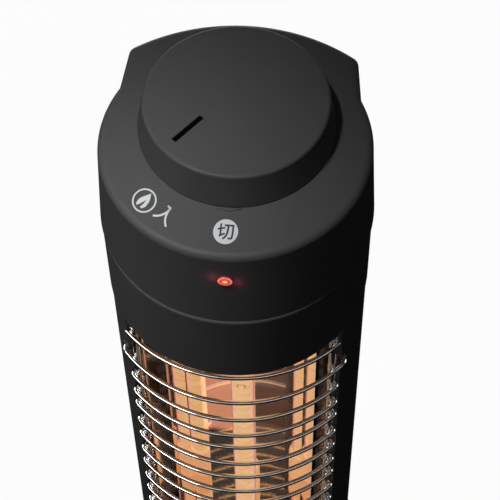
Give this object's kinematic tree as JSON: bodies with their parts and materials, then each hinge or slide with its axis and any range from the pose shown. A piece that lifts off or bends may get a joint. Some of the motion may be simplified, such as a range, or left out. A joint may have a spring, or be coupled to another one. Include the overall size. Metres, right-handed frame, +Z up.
{
  "type": "halogen heater",
  "caption": "Slim black tower halogen heater with a round turn dial, pilot lamp, chrome wire guard, folded mirror reflector, upright quartz lamp and domed foot.",
  "frame": {"origin": "centre of the foot on the floor, on the column's axis", "axes": "+Z up along the column, -Y towards the front with the guard and the pilot lamp, +X to the right when facing +Y"},
  "size_m": [0.1446, 0.1446, 0.435],
  "materials": {
    "shell_plastic": "matte moulded charcoal plastic",
    "chrome_wire": "bright chrome plated wire",
    "mirror_sheet": "polished mirror sheet, bent along straight folds",
    "plate_steel": "plain bright steel",
    "zinc_plate": "zinc coated steel sheet",
    "quartz": "clear quartz tube",
    "hot_filament": "glowing tungsten coil",
    "white_ceramic": "unglazed white ceramic",
    "red_lens": "lit clear red plastic",
    "inner_plastic": "plain black switch moulding",
    "pale_plastic": "plain pale moulding",
    "soft_rubber": "matte black rubber",
    "lead_sleeve": "heat proof wire sleeve"
  },
  "bodies": {
    "body": {"head_cap": "shell_plastic", "led_lens": "red_lens", "led_lamp": "red_lens", "front_shell": "shell_plastic", "rear_cover": "shell_plastic", "cord_bush": "soft_rubber", "guard_wires": "chrome_wire", "guard_rods": "chrome_wire", "reflector": "mirror_sheet", "upper_end_plate": "plate_steel", "lower_end_plate": "plate_steel", "lamp_tube": "quartz", "filament": "hot_filament", "lamp_pins": "plate_steel", "upper_lamp_cap": "white_ceramic", "lower_lamp_cap": "white_ceramic", "upper_lamp_clip": "plate_steel", "lower_lamp_clip": "plate_steel", "thermal_fuse": "plate_steel", "fuse_clip": "plate_steel", "rotary_switch": "inner_plastic", "switch_nut": "plate_steel", "base_shell": "shell_plastic", "base_plate": "zinc_plate", "rubber_feet": "soft_rubber", "tip_switch_housing": "inner_plastic", "micro_switch": "inner_plastic", "plunger_spring": "plate_steel", "terminal_block": "pale_plastic", "inner_leads": "lead_sleeve", "frame_screws": "plate_steel", "cover_screws": "plate_steel", "base_screws": "plate_steel"},
    "dial": {"dial_knob": "shell_plastic", "switch_shaft": "plate_steel"},
    "plunger": {"tip_plunger": "pale_plastic"}
  },
  "joints": [
    {"name": "dial_turn", "type": "hinge", "parent": "body", "child": "dial", "pos_m": [0, 0.0083, 0.427], "axis": [0, 0, 1], "range_deg": [0, 38]},
    {"name": "plunger_drop", "type": "slide", "parent": "body", "child": "plunger", "axis": [0, 0, -1], "range_m": [0, 0.004], "stiffness_N_per_m": 130, "springref_m": 0.006, "deforming": ["plunger_spring"]}
  ]
}
